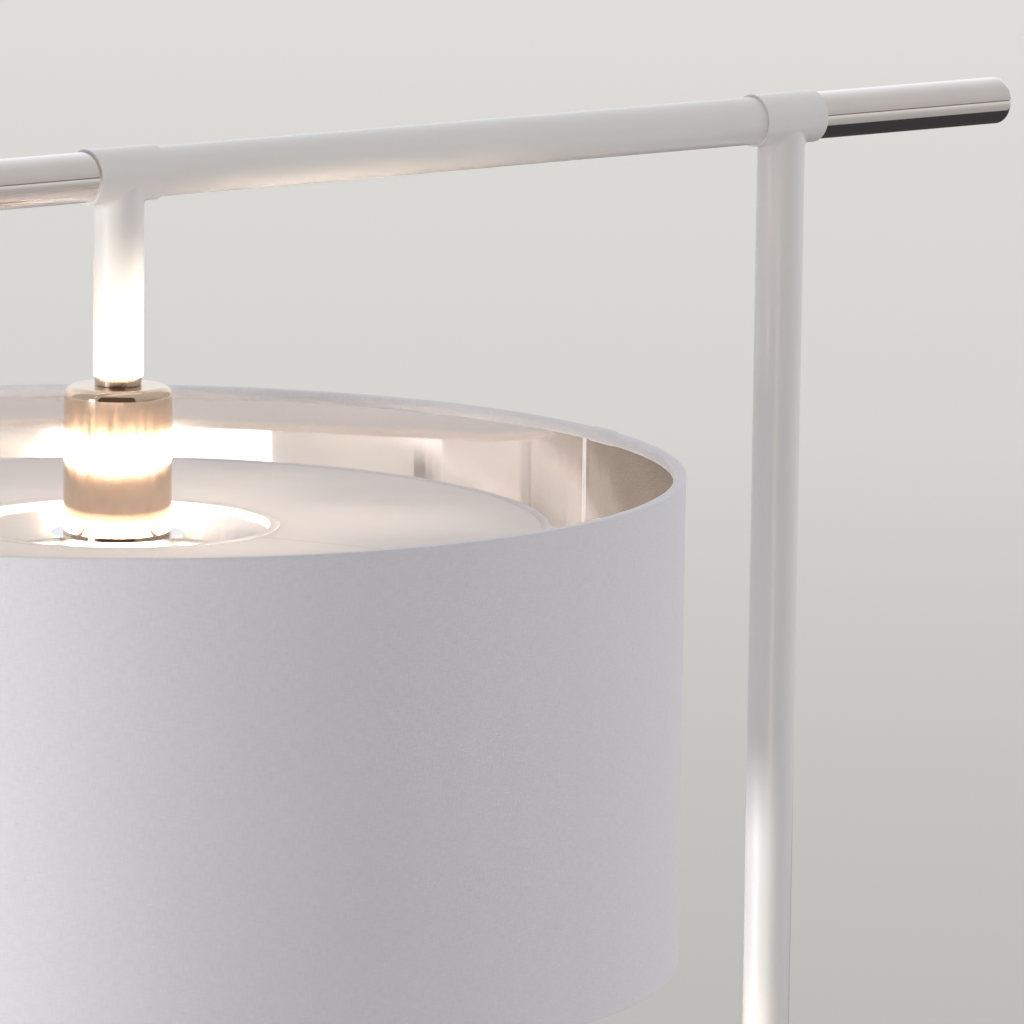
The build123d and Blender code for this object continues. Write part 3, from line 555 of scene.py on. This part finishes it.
def tapeLine(edgeZ, down):
    # outside of the tape, from its outer hem over the roll to its inner hem; down is -1 for the top edge
    out = shadeR + tape["proud"]
    inner = tape["inner"]
    return smoothLoop([
        (shadeR + 0.01 * mm, edgeZ + down * tape["outerDrop"]),
        (out, edgeZ + down * 0.9 * mm),
        (out - 0.05 * mm, edgeZ + down * 0.35 * mm),
        (out - 0.35 * mm, edgeZ + down * 0.06 * mm),
        ((out + inner) / 2 - 0.2 * mm, edgeZ + down * 0.02 * mm),
        (inner + 1.0 * mm, edgeZ + down * 0.5 * mm),
        (inner + 0.15 * mm, edgeZ + down * 1.7 * mm),
        (inner + 0.15 * mm, edgeZ + down * 3.1 * mm),
        (inner + 1.0 * mm, edgeZ + down * 4.5 * mm),
        (shadeR - 1.15 * mm, edgeZ + down * tape["innerDrop"]),
    ], 4, closed=False)


def offsetLine(line, amount):
    made = []
    for j, (r, z) in enumerate(line):
        before, after = line[max(j - 1, 0)], line[min(j + 1, len(line) - 1)]
        dr, dz = after[0] - before[0], after[1] - before[1]
        length = math.hypot(dr, dz) or 1.0
        made.append((r - dz / length * amount, z + dr / length * amount))
    return made


def tapeLap(name, line, down):
    # the tape's end, folded over its start and cut to a curve
    front, back, flat = [], [], []
    for i in range(tape["lapColumns"] + 1):
        t = i / tape["lapColumns"]
        rise = tape["lapRise"] * min(1.0, t * 3)
        above = offsetLine(line, rise * down)
        below = offsetLine(line, (rise - tape["lapThick"]) * down)
        run = 0.0
        f, b, u = [], [], []
        for j in range(len(line)):
            if j:
                run += math.dist(line[j], line[j - 1])
            s = j / (len(line) - 1)
            bow = 4 * mm * math.sin(math.pi * s) + 3 * mm * s
            angle = seamAngle + (-tape["lap"] + (tape["lap"] + bow) * t) / shadeR
            f.append(around(angle, *above[j]))
            b.append(around(angle, *below[j]))
            u.append((angle * shadeR + 0.05, run))
        front.append(f)
        back.append(b)
        flat.append(u)
    return sheetPiece(name, front, back, flat, "shade_cloth")


def edgeTape(name, edgeZ, down, node):
    line = tapeLine(edgeZ, down)
    inside = offsetLine(line, -tape["thick"] * down)
    columns = tape["steps"]
    front, back, flat = [], [], []
    for i in range(columns):
        angle = seamAngle + full * i / columns
        sway = 0.05 * mm * math.sin(7 * angle + 1.1) + 0.04 * mm * math.sin(17 * angle)
        run = 0.0
        f, b, u = [], [], []
        for j, ((r, z), (ri, zi)) in enumerate(zip(line, inside)):
            if j:
                run += math.dist(line[j], line[j - 1])
            hem = 0.05 * mm * math.sin(23 * angle + 0.4) if j < 3 else 0.0
            f.append(around(angle, r + sway * 0.3, z + hem))
            b.append(around(angle, ri + sway * 0.3, zi + hem))
            u.append((angle * shadeR, run))
        front.append(f)
        back.append(b)
        flat.append(u)
    main = sheetPiece(name, front, back, flat, "shade_cloth", wrap=True)
    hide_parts(node)
    return main, tapeLap(name + "Lap", line, down)


topTape, topTapeLap = edgeTape("topTape", rimZ, -1, "top_trim")
bottomTape, bottomTapeLap = edgeTape("bottomTape", footZ, 1, "bottom_trim")
print("stage: drum made")

# ---- the diffuser: cloth disc between two rolled edges ----

disc = {
    "inner": 0.0626,
    "outer": 0.1699,
    "thick": 0.5 * mm,
    "edgeWidth": 4.4 * mm,
    "steps": 288,
    "rings": 22,
}


def diffuserCloth():
    front, back, flat = [], [], []
    top = panelHigh.z
    for i in range(disc["steps"]):
        angle = full * i / disc["steps"]
        f, b, u = [], [], []
        for j in range(disc["rings"] + 1):
            s = j / disc["rings"]
            r = disc["inner"] + (disc["outer"] - disc["inner"]) * s
            dip = 0.25 * mm * math.sin(math.pi * s) * (
                0.6 + 0.4 * math.sin(3 * angle + 1.0) + 0.2 * math.sin(7 * angle + 4 * s))
            f.append(around(angle, r, top - dip))
            b.append(around(angle, r, top - dip - disc["thick"]))
            u.append((r * math.cos(angle), r * math.sin(angle)))
        front.append(b)
        back.append(f)
        flat.append(u)
    return sheetPiece("diffuserCloth", front, back, flat, "diffuser_cloth", wrap=True)


diffuserSheet = diffuserCloth()
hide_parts("diffuser_panel")


def discEdge(name, node, outward):
    low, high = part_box(node)
    reach = (high.x - low.x) / 2
    edgeR, clothR = reach, reach - disc["edgeWidth"]
    if not outward:
        edgeR, clothR = clothR, edgeR
    toCloth = -1 if outward else 1
    zTop, zLow = high.z, low.z
    corners = [
        (clothR, panelHigh.z + 0.02 * mm),
        (clothR - toCloth * 1.2 * mm, zTop - 0.10 * mm),
        (clothR - toCloth * 2.6 * mm, zTop - 0.02 * mm),
        (edgeR + toCloth * 0.5 * mm, zTop - 0.35 * mm),
        (edgeR + toCloth * 0.05 * mm, zTop - 1.3 * mm),
        (edgeR + toCloth * 0.05 * mm, zLow + 1.2 * mm),
        (edgeR + toCloth * 0.5 * mm, zLow + 0.3 * mm),
        (clothR - toCloth * 2.4 * mm, zLow + 0.05 * mm),
        (clothR - toCloth * 1.3 * mm, zLow + 0.3 * mm),
        (clothR - toCloth * 0.9 * mm, panelLow.z + 0.3 * mm),
        (clothR - toCloth * 0.1 * mm, panelHigh.z - 0.55 * mm),
    ]
    if outward:
        corners = corners[::-1]

    def section(angle):
        sway = 0.06 * mm * math.sin(11 * angle) + 0.05 * mm * math.sin(19 * angle + 1.0)
        return [(r + sway * 0.4, z + sway * 0.4) for r, z in smoothLoop(corners, 4)]

    made = ringPiece(name, section, disc["steps"], "diffuser_trim", reach)
    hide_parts(node)
    return made


discOuter = discEdge("discOuterTape", "disc_outer_edge", True)
discInner = discEdge("discInnerTape", "disc_inner_edge", False)
print("stage: diffuser made")

# ---- felt pad under the base, a punched disc with a soft cut edge ----


pad = {
    "steps": 160,
    "fray": 0.12 * mm,   # how far the cut edge is nibbled
    "dimple": 0.02 * mm,
    "edgeFrom": 0.95,    # share of the radius where the cut edge begins
}


def feltPad():
    low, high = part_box("base_pad")
    middleX, middleY = (low.x + high.x) / 2, (low.y + high.y) / 2
    reach = (high.x - low.x) / 2
    deep = high.z - low.z
    steps = pad["steps"]
    # rings of the section, from under the pad round its edge to its top
    profile = [(reach * share, max(low.z, low.z + pad["dimple"] * math.sin(30 * share)))
               for share in (0.3, 0.6, 0.9)]
    profile += [
        (reach - 0.7 * mm, low.z),
        (reach - 0.2 * mm, low.z + deep * 0.2),
        (reach, low.z + deep * 0.5),
        (reach - 0.2 * mm, low.z + deep * 0.85),
        (reach - 0.6 * mm, high.z),
        (reach * 0.5, high.z),
    ]
    points, uvs, faces = [], [], []
    for r, z in profile:
        for i in range(steps):
            angle = full * i / steps
            atEdge = r > reach * pad["edgeFrom"]
            cut = min(pad["fray"] * math.sin(37 * angle + 90 * z), 0.0) if atEdge else 0.0
            x, y = middleX + (r + cut) * math.cos(angle), middleY + (r + cut) * math.sin(angle)
            points.append((x, y, z))
            uvs.append((x, y))
    points += [(middleX, middleY, low.z), (middleX, middleY, high.z)]
    uvs += [(middleX, middleY), (middleX, middleY)]
    rows = len(profile)
    bottom, top = rows * steps, rows * steps + 1
    for i in range(steps):
        n = (i + 1) % steps
        faces.append((bottom, n, i))
        faces.append((top, (rows - 1) * steps + i, (rows - 1) * steps + n))
        for j in range(rows - 1):
            a = j * steps
            faces.append((a + i, a + n, a + steps + n, a + steps + i))
    made = newPiece("feltPad", points, faces, uvs, "felt", "stand")
    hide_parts("base_pad")


feltPad()

print("stage: pad made")

# ---- floor ----


def makeFloor():
    made, tree = newFinish("floorPaintedLight")
    shader = addNode(tree, "ShaderNodeBsdfPrincipled", {"Roughness": 0.8, "Specular IOR Level": 0.2})
    where = addNode(tree, "ShaderNodeTexCoord")
    distance = addNode(tree, "ShaderNodeVectorMath", operation="LENGTH")
    join(tree, where, "Object", distance, "Vector")
    # painted shade: the floor's colour is darker near the lamp and lighter further out
    ramp = addNode(tree, "ShaderNodeValToRGB")
    far = addNode(tree, "ShaderNodeMapRange", {"From Min": 2.0, "From Max": 22.0})
    join(tree, distance, "Value", far, "Value")
    join(tree, far, "Result", ramp, "Fac")
    ramp.color_ramp.elements[0].color = (0.56, 0.555, 0.535, 1)
    ramp.color_ramp.elements[1].color = (0.74, 0.735, 0.712, 1)
    join(tree, ramp, "Color", shader, "Base Color")
    # painted light: the floor glows more the further it lies from the lamp, standing in for the studio's
    # uneven light
    glowing = addNode(tree, "ShaderNodeMapRange", {
        "From Min": 2.5, "From Max": 9.5, "To Min": 0.13, "To Max": 0.51})
    join(tree, distance, "Value", glowing, "Value")
    join(tree, ramp, "Color", shader, "Emission Color")
    join(tree, glowing, "Result", shader, "Emission Strength")
    out = addNode(tree, "ShaderNodeOutputMaterial")
    join(tree, shader, "BSDF", out, "Surface")
    steps = 128
    rings = [0.5, 2.0, 8.0, 25.0, 60.0]
    level = -0.2 * mm  # just under the felt pad
    points = [(0, 0, level)]
    faces = []
    for r in rings:
        for i in range(steps):
            points.append((r * math.cos(full * i / steps), r * math.sin(full * i / steps), level))
    for i in range(steps):
        faces.append((0, 1 + i, 1 + (i + 1) % steps))
    for k in range(len(rings) - 1):
        for i in range(steps):
            n = (i + 1) % steps
            a, b = 1 + k * steps, 1 + (k + 1) * steps
            faces.append((a + i, b + i, b + n, a + n))
    mesh = bpy.data.meshes.new("floorPaintedLight")
    mesh.from_pydata(points, [], faces)
    mesh.materials.append(made)
    floor = bpy.data.objects.new("floorPaintedLight", mesh)
    bpy.context.scene.collection.objects.link(floor)


makeFloor()

# ---- light ----


def setWorld(colour, strength):
    world = bpy.data.worlds.new("studioAir")
    bpy.context.scene.world = world
    world.use_nodes = True
    back = world.node_tree.nodes["Background"]
    back.inputs["Color"].default_value = (*colour, 1)
    back.inputs["Strength"].default_value = strength


setWorld((1.0, 0.995, 0.98), 0.55)


def softBox(name, place, aim, width, height, power, colour=(1, 1, 1)):
    data = bpy.data.lights.new(name, "AREA")
    data.shape = "RECTANGLE"
    data.size = width
    data.size_y = height
    data.energy = power
    data.color = colour
    lamp = bpy.data.objects.new(name, data)
    bpy.context.scene.collection.objects.link(lamp)
    turn = (Vector(aim) - Vector(place)).to_track_quat("-Z", "Y").to_matrix().to_4x4()
    lamp.matrix_world = Matrix.Translation(place) @ turn
    return lamp


middle = (shadeX, 0.0, 1.33)
keyLeft = softBox("keyLeft", (shadeX - 1.45, 0.38, 0.88), middle, 0.7, 0.6, 21.0, (1.0, 0.985, 0.965))
keyLeft.visible_glossy = False
rimRight = softBox("rimRight", (shadeX + 2.3, -0.6, 1.7), middle, 0.6, 1.6, 10.0, (0.96, 0.97, 1.0))
rimRight.visible_glossy = False
softBox("topSoft", (-0.2, 0.2, 3.6), (-0.2, 0.0, 1.4), 2.0, 1.2, 3.4)
behind = softBox("stripBehind", (1.86, 1.17, 3.36), (0.07, 0.0, 1.55), 2.4, 0.5, 8.0)
behind.visible_glossy = False

# light that the mirror lining throws back up on to the drop tube
throwback = {"count": 6, "radius": 0.19, "z": rimZ - 0.010, "aimZ": rimZ + 0.018, "power": 0.045,
             "spread": 44, "side": math.radians(-30), "sideShare": 0.6}
for k in range(throwback["count"]):
    angle = full * (k + 0.5) / throwback["count"]
    lamp = softBox("throwback%d" % k, around(angle, throwback["radius"], throwback["z"]),
                   (shadeX, 0.0, throwback["aimZ"]), 0.07, 0.012,
                   throwback["power"] * (1 + throwback["sideShare"] * math.cos(angle - throwback["side"])),
                   (1.0, 0.85, 0.68))
    lamp.data.spread = math.radians(throwback["spread"])
    lamp.visible_camera = False
    lamp.visible_glossy = False


def placeCard(name, mesh):
    card = bpy.data.objects.new(name, mesh)
    bpy.context.scene.collection.objects.link(card)
    for kind in ("camera", "diffuse", "transmission", "volume_scatter", "shadow"):
        setattr(card, "visible_" + kind, False)


def reflectedCard(name, place, across, up, tone, shine=0.0):
    # a studio card that only shows in polished metal
    made, tree = newFinish(name)
    shader = addNode(tree, "ShaderNodeBsdfPrincipled", {
        "Base Color": (*tone, 1), "Roughness": 0.9, "Emission Color": (*tone, 1), "Emission Strength": shine})
    out = addNode(tree, "ShaderNodeOutputMaterial")
    join(tree, shader, "BSDF", out, "Surface")
    place, across, up = Vector(place), Vector(across) / 2, Vector(up) / 2
    corners = [place - across - up, place + across - up, place + across + up, place - across + up]
    mesh = bpy.data.meshes.new(name)
    mesh.from_pydata([tuple(c) for c in corners], [], [(0, 1, 2, 3)])
    mesh.materials.append(made)
    placeCard(name, mesh)


def skyCard(name, radius, left, right, tones):
    # an arch over the lamp, bright behind it and darker overhead, that only shows in polished metal
    made, tree = newFinish(name)
    where = addNode(tree, "ShaderNodeTexCoord")
    split = addNode(tree, "ShaderNodeSeparateXYZ")
    join(tree, where, "UV", split, "Vector")
    ramp = addNode(tree, "ShaderNodeValToRGB")
    bar = ramp.color_ramp
    while len(bar.elements) < len(tones):
        bar.elements.new(0.5)
    for element, (place, tone, warmth) in zip(bar.elements, tones):
        element.position = place
        element.color = (tone * (1 + warmth), tone, tone * (1 - warmth), 1)
    join(tree, split, "Y", ramp, "Fac")
    shader = addNode(tree, "ShaderNodeBsdfPrincipled", {
        "Base Color": (0, 0, 0, 1), "Specular IOR Level": 0.0, "Roughness": 1.0, "Emission Strength": 1.0})
    join(tree, ramp, "Color", shader, "Emission Color")
    out = addNode(tree, "ShaderNodeOutputMaterial")
    join(tree, shader, "BSDF", out, "Surface")
    steps = 32
    points, faces = [], []
    for i in range(steps + 1):
        angle = math.pi * i / steps
        for x in (left, right):
            points.append((x, radius * math.cos(angle), armZ + radius * math.sin(angle)))
    for i in range(steps):
        faces.append((2 * i, 2 * i + 1, 2 * i + 3, 2 * i + 2))
    mesh = bpy.data.meshes.new(name)
    mesh.from_pydata(points, [], faces)
    layer = mesh.uv_layers.new(name="arch")
    for loop in mesh.loops:
        layer.data[loop.index].uv = (loop.vertex_index % 2, loop.vertex_index // 2 / steps)
    mesh.polygons.foreach_set("use_smooth", [True] * len(faces))
    mesh.materials.append(made)
    placeCard(name, mesh)


skyCard("cardSky", 5.0, -3.0, 12.0, [
    (0.03, 0.95, -0.03), (0.11, 1.15, -0.04), (0.20, 1.04, -0.04), (0.32, 0.87, -0.03), (0.44, 0.73, -0.01),
    (0.60, 0.61, 0.01), (0.80, 0.57, 0.02), (0.97, 0.50, 0.02)])
reflectedCard("cardBelow", (0.95, 0.36, 0.9), (1.4, 0, 0), (0, 1.9, 0), (0.03, 0.03, 0.032))
reflectedCard("cardFront", (2.3, -2.7, 1.60), (3.5, 0, 0), (0, 0, 0.24), (0.30, 0.23, 0.22))
reflectedCard("cardCamera", (-1.64, -1.53, 2.55), (2.6, -2.2, 0), (0, 0, 2.5), (0.15, 0.095, 0.07))
reflectedCard("cardKey", (-1.95, 0.25, 0.80), (0.35, 2.6, 0), (0, 0, 0.8), (1.0, 0.99, 0.97), 1.6)
reflectedCard("cardKeyFront", (-1.97, -1.38, 0.80), (1.15, -1.62, 0), (0, 0, 0.95), (1.0, 0.88, 0.70), 1.5)
reflectedCard("cardWindow", (-2.15, 0.12, 1.35), (0.03, 0.42, 0), (0, 0, 0.8), (0.95, 0.97, 1.0), 4.0)
print("stage: light set")
